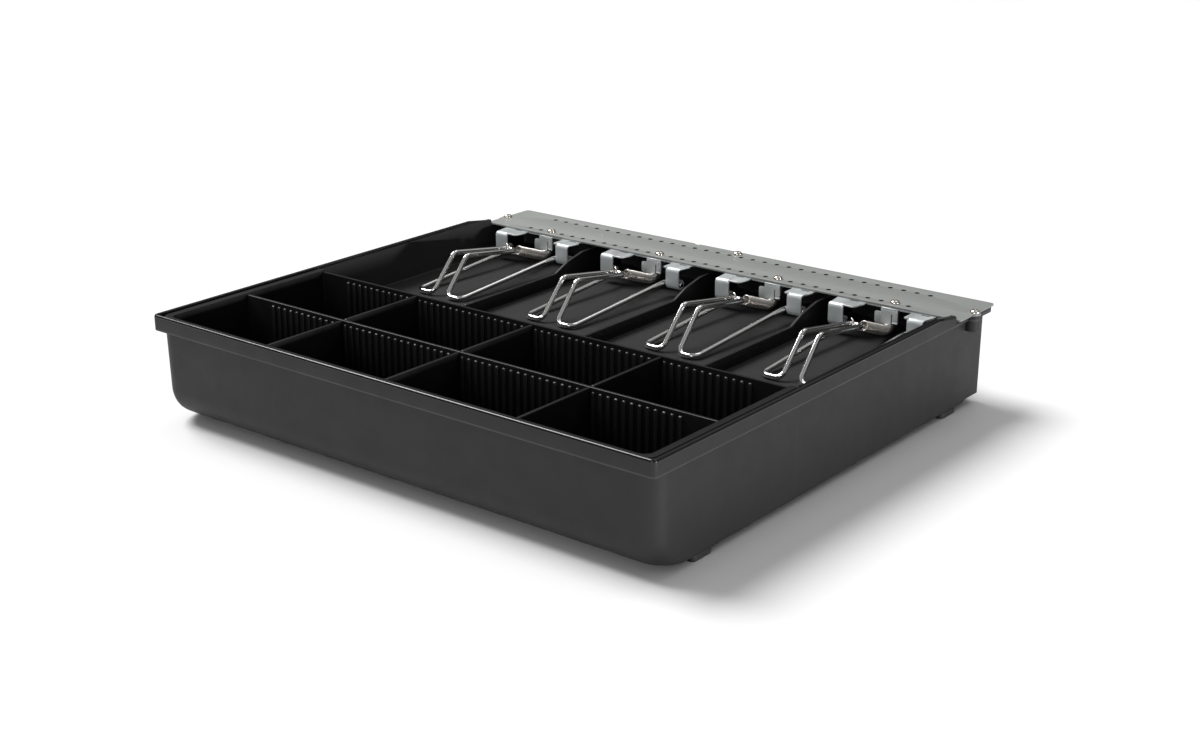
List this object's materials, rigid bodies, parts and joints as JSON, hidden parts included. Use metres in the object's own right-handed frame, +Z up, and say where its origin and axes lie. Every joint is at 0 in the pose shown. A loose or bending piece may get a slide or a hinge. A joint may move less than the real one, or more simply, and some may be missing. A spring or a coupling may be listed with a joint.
{
  "type": "cash drawer insert",
  "caption": "Black moulded cash drawer insert with a lift-out ribbed coin tray, loose divider plates and sprung wire clips that hold banknotes under a perforated steel plate.",
  "frame": {"origin": "centre of the bounding box, on the plane that the feet stand on", "axes": "+Z up, +X to the right across the insert, -Y towards the front edge where the coins are"},
  "size_m": [0.3796, 0.3372, 0.067],
  "materials": {
    "tray_plastic": "satin moulded, fine grain",
    "coin_plastic": "satin moulded",
    "plate_paint": "matt powder coat",
    "bracket_plating": "zinc plated sheet",
    "clip_chrome": "bright plated wire",
    "spring_nickel": "nickel plated spring wire",
    "screw_nickel": "nickel plated",
    "foot_rubber": "matt"
  },
  "bodies": {
    "tray": {"tray_body": "tray_plastic", "note_divider_1": "coin_plastic", "note_divider_2": "coin_plastic", "note_divider_3": "coin_plastic", "clip_plate": "plate_paint", "clip_bracket_1": "bracket_plating", "clip_bracket_2": "bracket_plating", "clip_bracket_3": "bracket_plating", "clip_bracket_4": "bracket_plating", "clip_spring_1": "spring_nickel", "clip_spring_2": "spring_nickel", "clip_spring_3": "spring_nickel", "clip_spring_4": "spring_nickel", "bracket_screws": "screw_nickel", "plate_end_screws": "screw_nickel", "plate_back_screw": "screw_nickel", "rubber_feet": "foot_rubber"},
    "coin_tray": {"coin_tray": "coin_plastic"},
    "coin_divider_1": {"coin_divider_1": "coin_plastic"},
    "coin_divider_2": {"coin_divider_2": "coin_plastic"},
    "coin_divider_3": {"coin_divider_3": "coin_plastic"},
    "coin_divider_4": {"coin_divider_4": "coin_plastic"},
    "coin_divider_5": {"coin_divider_5": "coin_plastic"},
    "coin_divider_6": {"coin_divider_6": "coin_plastic"},
    "note_clip_1": {"note_clip_1": "clip_chrome"},
    "note_clip_2": {"note_clip_2": "clip_chrome"},
    "note_clip_3": {"note_clip_3": "clip_chrome"},
    "note_clip_4": {"note_clip_4": "clip_chrome"}
  },
  "joints": [
    {"name": "coin_tray_lift", "type": "slide", "parent": "tray", "child": "coin_tray", "axis": [0, 0, 1], "range_m": [0, 0.075]},
    {"name": "coin_divider_1_lift", "type": "slide", "parent": "coin_tray", "child": "coin_divider_1", "axis": [0, 0, 1], "range_m": [0, 0.06]},
    {"name": "coin_divider_2_lift", "type": "slide", "parent": "coin_tray", "child": "coin_divider_2", "axis": [0, 0, 1], "range_m": [0, 0.06]},
    {"name": "coin_divider_3_lift", "type": "slide", "parent": "coin_tray", "child": "coin_divider_3", "axis": [0, 0, 1], "range_m": [0, 0.06]},
    {"name": "coin_divider_4_lift", "type": "slide", "parent": "coin_tray", "child": "coin_divider_4", "axis": [0, 0, 1], "range_m": [0, 0.06]},
    {"name": "coin_divider_5_lift", "type": "slide", "parent": "coin_tray", "child": "coin_divider_5", "axis": [0, 0, 1], "range_m": [0, 0.06]},
    {"name": "coin_divider_6_lift", "type": "slide", "parent": "coin_tray", "child": "coin_divider_6", "axis": [0, 0, 1], "range_m": [0, 0.06]},
    {"name": "note_clip_1_lift", "type": "hinge", "parent": "tray", "child": "note_clip_1", "pos_m": [-0.13574, 0.1172, 0.0491], "axis": [-1, 0, 0], "range_deg": [0, 64], "stiffness_Nm_per_rad": 0.12, "springref_deg": -28.65, "deforming": ["clip_spring_1"]},
    {"name": "note_clip_2_lift", "type": "hinge", "parent": "tray", "child": "note_clip_2", "pos_m": [-0.04214, 0.1172, 0.0491], "axis": [-1, 0, 0], "range_deg": [0, 64], "stiffness_Nm_per_rad": 0.12, "springref_deg": -28.65, "deforming": ["clip_spring_2"]},
    {"name": "note_clip_3_lift", "type": "hinge", "parent": "tray", "child": "note_clip_3", "pos_m": [0.05146, 0.1172, 0.0491], "axis": [-1, 0, 0], "range_deg": [0, 64], "stiffness_Nm_per_rad": 0.12, "springref_deg": -28.65, "deforming": ["clip_spring_3"]},
    {"name": "note_clip_4_lift", "type": "hinge", "parent": "tray", "child": "note_clip_4", "pos_m": [0.1357, 0.1172, 0.0491], "axis": [-1, 0, 0], "range_deg": [0, 64], "stiffness_Nm_per_rad": 0.12, "springref_deg": -28.65, "deforming": ["clip_spring_4"]}
  ]
}
